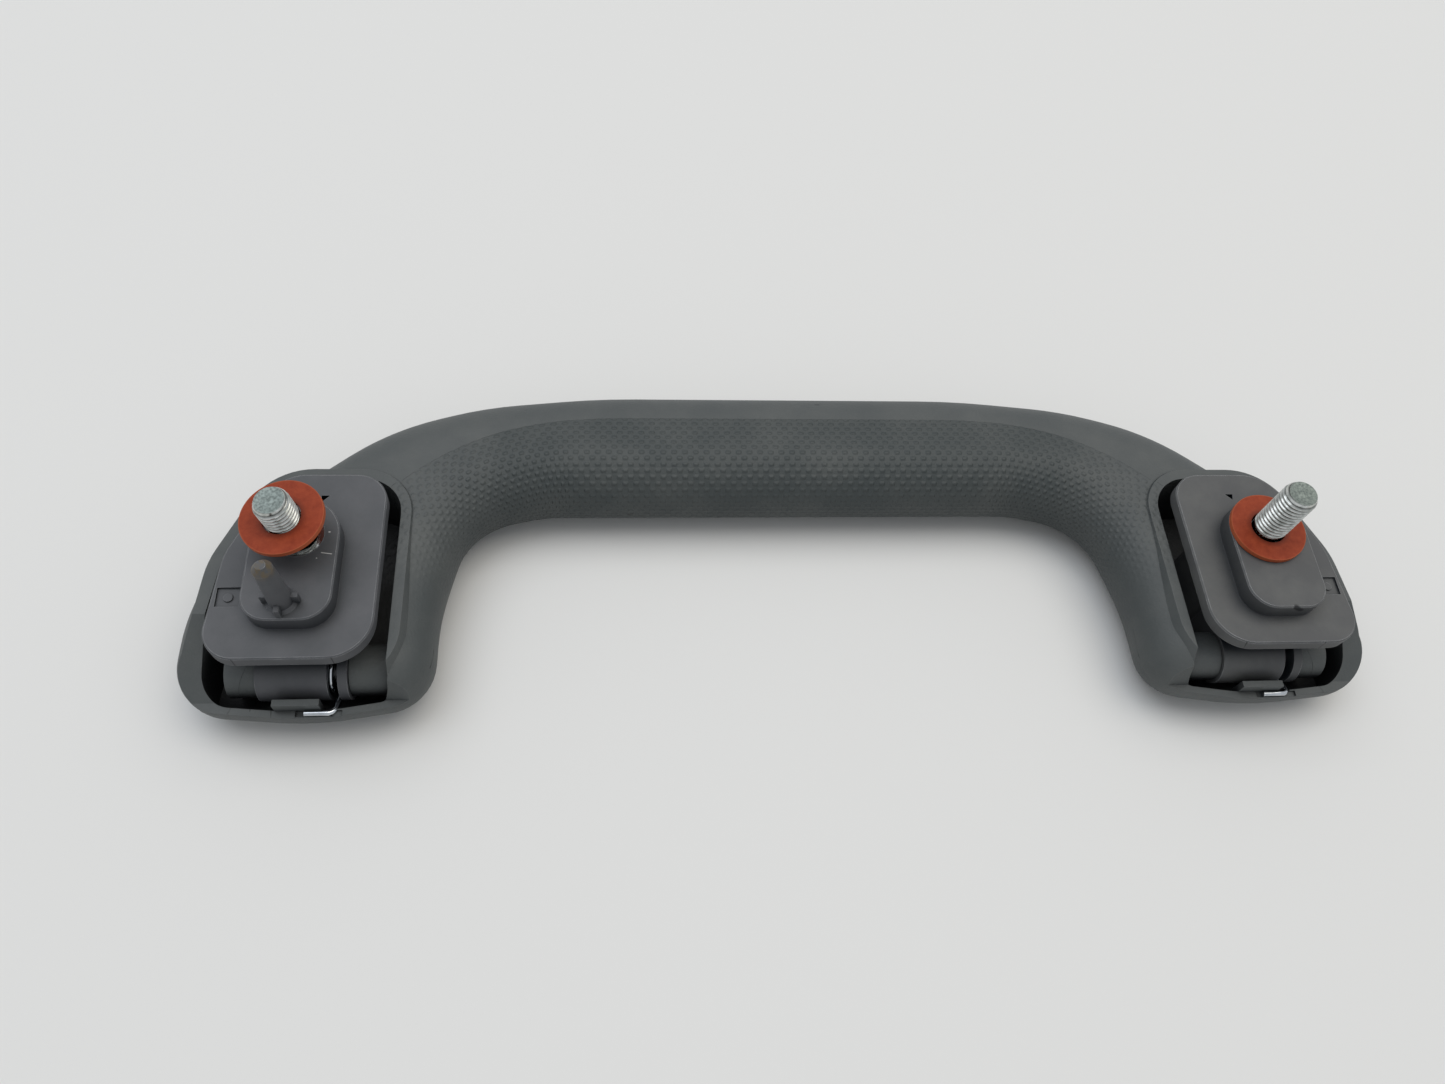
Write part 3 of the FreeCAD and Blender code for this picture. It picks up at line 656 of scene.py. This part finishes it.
for side in SIDES:
    axis = SCREW_AXES[side]
    middle = SHANK_LEN + (SCREW_LEN - POINT_LEN - SHANK_LEN) / 2
    name = side + "_threaded_screw"
    screw = bpy.data.objects.new(name, screw_mesh(name))
    scene.collection.objects.link(screw)
    tilt = Vector((0, 0, 1)).rotation_difference(axis).to_matrix().to_4x4()
    screw.data.transform(Matrix.Translation(THREAD_MIDDLES[side] - axis * middle) @ tilt)
    screw.data.materials.append(thread_zinc)
    screw.data.materials.append(sheared_zinc)
    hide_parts(side + "_screw")
    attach(screw, side + "_bracket")
    print(screw.name, len(screw.data.vertices), "points")

# %% [markdown]
# ## Return springs
# A spring is one piece of round wire, so it is drawn as one curve with a round bevel: a short
# tail in the bracket, the coil round the pin, and the leg that lies in the grip's groove. The
# wire leaves the coil on its underside and climbs to the groove, so that the gap between the
# knuckles looks dark from above.

# %% Spring wire
WIRE_R = 0.6 * mm
COIL_R = 4.0 * mm
COIL_TURNS = 3
COIL_PITCH = 1.35 * mm
KNUCKLE_OFFSET = 0.2 * mm   # middle of the knuckles from the hinge's middle
BARREL = 13.8 * mm
GAP = 2.0 * mm
COLLAR = 1.9 * mm
TAIL = 2.8 * mm
LEG_Y = -9.4 * mm
LEG_Z = 0.9 * mm            # leg's height from the hinge axis
LEG_LEN = 5.8 * mm
LEG_BEND = 1.2 * mm
BEND_SHARES = (1.0, 0.55, 0.25, 0.08)   # points of the bend into the leg, as shares of it
COIL_STEPS = 144


def spring_route(side):
    """Points of the wire's middle line."""
    hinge = HINGES[side]
    gap_x = hinge.x + KNUCKLE_OFFSET - (BARREL + GAP + COLLAR) / 2 + BARREL + GAP / 2
    first_x = gap_x - COIL_TURNS * COIL_PITCH
    aim = math.atan2(LEG_Z, LEG_Y)
    swing = math.acos(COIL_R / math.hypot(LEG_Y, LEG_Z))
    start = aim - swing
    end = aim + swing - 2 * math.pi * COIL_TURNS
    points = []
    for i in range(COIL_STEPS + 1):
        share = i / COIL_STEPS
        a = start + (end - start) * share
        x = first_x + (gap_x - first_x) * share
        points.append(Vector((x, COIL_R * math.cos(a), COIL_R * math.sin(a))))
    tail = points[0] - Vector((TAIL, 0, 0))
    foot = Vector((gap_x, LEG_Y, LEG_Z))
    along = (foot - points[-1]).normalized()
    points = [tail, points[0] - Vector((LEG_BEND / 2, 0, 0))] + points[1:]
    for share in BEND_SHARES:
        bend = (1 - share) ** 2
        points.append(foot - along * LEG_BEND * share - Vector((LEG_BEND * bend, 0, 0)))
    points.append(foot - Vector((LEG_BEND, 0, 0)))
    points.append(foot - Vector((LEG_LEN, 0, 0)))
    return [p + Vector((0, hinge.y, hinge.z)) for p in points]


for side in SIDES:
    route = spring_route(side)
    curve = bpy.data.curves.new(side + "_spring_wire", "CURVE")
    curve.dimensions = "3D"
    curve.bevel_depth = WIRE_R
    curve.bevel_resolution = 5
    curve.use_fill_caps = True
    line = curve.splines.new("POLY")
    line.points.add(len(route) - 1)
    for point, place in zip(line.points, route):
        point.co = (*place, 1.0)
    line.use_smooth = True
    wire = bpy.data.objects.new(curve.name, curve)
    scene.collection.objects.link(wire)
    curve.materials.append(drawn_wire)
    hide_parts(side + "_return_spring")
    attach(wire, "grip")
    print(wire.name, "of", len(route), "points")

# %% [markdown]
# ## Smooth shading
# The CAD meshes come as triangles. Shading them smooth up to an angle keeps their true edges.

# %% Shade by angle
SMOOTH_LIMIT = math.radians(32)
for node in NODES.values():
    if node.hide_render:
        continue
    node.data.shade_smooth()
    node.data.set_sharp_from_angle(angle=SMOOTH_LIMIT)
print("shaded by angle")

# %% [markdown]
# ## Table, light and camera
# The handle lies on a pale paper. Two large soft lamps stand on the far side, a cool one on the
# left and a warm one on the right, like windows. The near faces fall into shade, and soft
# shadows lie in front of the bow and inside the legs. The pale room fills the rest. The Light
# Path node makes the room brighter to the camera and in reflections than it is as a light.

# %% Table
TABLE_SIZE = 6.0            # metres, large enough that no edge comes into view
paper, tree = new_material("pale_paper")
shader = add(tree, "BsdfPrincipled", {"Base Color": linear("dcdcda"), "Roughness": 0.7})
add(tree, "OutputMaterial", {"Surface": shader})
bpy.ops.mesh.primitive_plane_add(size=TABLE_SIZE, location=(0, 1.0, cad_low.z - 0.05 * mm))
table = bpy.context.object
table.name = "table"
table.data.materials.append(paper)
print("table at", round(table.location.z / mm, 2), "mm")

# %% Lamps
LAMP_SIZE = 2.0
LAMP_WATTS = 19.0


def soft_lamp(name, place, colour):
    """A round lamp that faces the origin."""
    lamp = bpy.data.lights.new(name, "AREA")
    lamp.shape = "DISK"
    lamp.size = LAMP_SIZE
    lamp.energy = LAMP_WATTS
    lamp.color = linear(colour)[:3]
    thing = bpy.data.objects.new(name, lamp)
    thing.location = place
    thing.rotation_euler = (-Vector(place)).to_track_quat("-Z", "Y").to_euler()
    scene.collection.objects.link(thing)


soft_lamp("left_window", (-0.8, 0.55, 2.1), "f4f8ff")
soft_lamp("right_window", (0.8, 0.4, 2.1), "fff9ef")

# %% Room
ROOM_LIGHT = 0.52
ROOM_SEEN = 0.8
world = bpy.data.worlds.new("pale_room")
world.use_nodes = True
tree = world.node_tree
tree.nodes.clear()
rays = add(tree, "LightPath").node.outputs
seen = add(tree, "Math", {0: rays["Is Camera Ray"], 1: rays["Is Glossy Ray"]},
           operation="MAXIMUM")
seen = add(tree, "Math", {0: seen, 1: rays["Is Transmission Ray"]}, operation="MAXIMUM")
glow = add(tree, "MapRange", {"Value": seen, "To Min": ROOM_LIGHT, "To Max": ROOM_SEEN})
room = add(tree, "Background", {"Color": linear("eef1f5"), "Strength": glow})
add(tree, "OutputWorld", {"Surface": room})
scene.world = world
print("room light", ROOM_LIGHT, "as a lamp and", ROOM_SEEN, "as seen")

# %% Camera
CAMERA_PLACE = Vector((-38.388, -115.291, 221.317)) * mm
CAMERA_AIM = Vector((0.09847, 0.48208, -0.87058))
CAMERA_UP = Vector((0.00570, 0.87454, 0.48492))
right = CAMERA_AIM.cross(CAMERA_UP).normalized()
up = right.cross(CAMERA_AIM).normalized()
lens = bpy.data.cameras.new("photo_camera")
lens.lens = 27.08
lens.sensor_width = 36.0
lens.clip_start = 0.01
camera = bpy.data.objects.new("photo_camera", lens)
camera.matrix_world = Matrix((
    (right.x, up.x, -CAMERA_AIM.x, CAMERA_PLACE.x),
    (right.y, up.y, -CAMERA_AIM.y, CAMERA_PLACE.y),
    (right.z, up.z, -CAMERA_AIM.z, CAMERA_PLACE.z),
    (0, 0, 0, 1),
))
scene.collection.objects.link(camera)
scene.camera = camera
scene.view_settings.view_transform = "Standard"
print("camera at", [round(v / mm, 1) for v in CAMERA_PLACE], "mm")
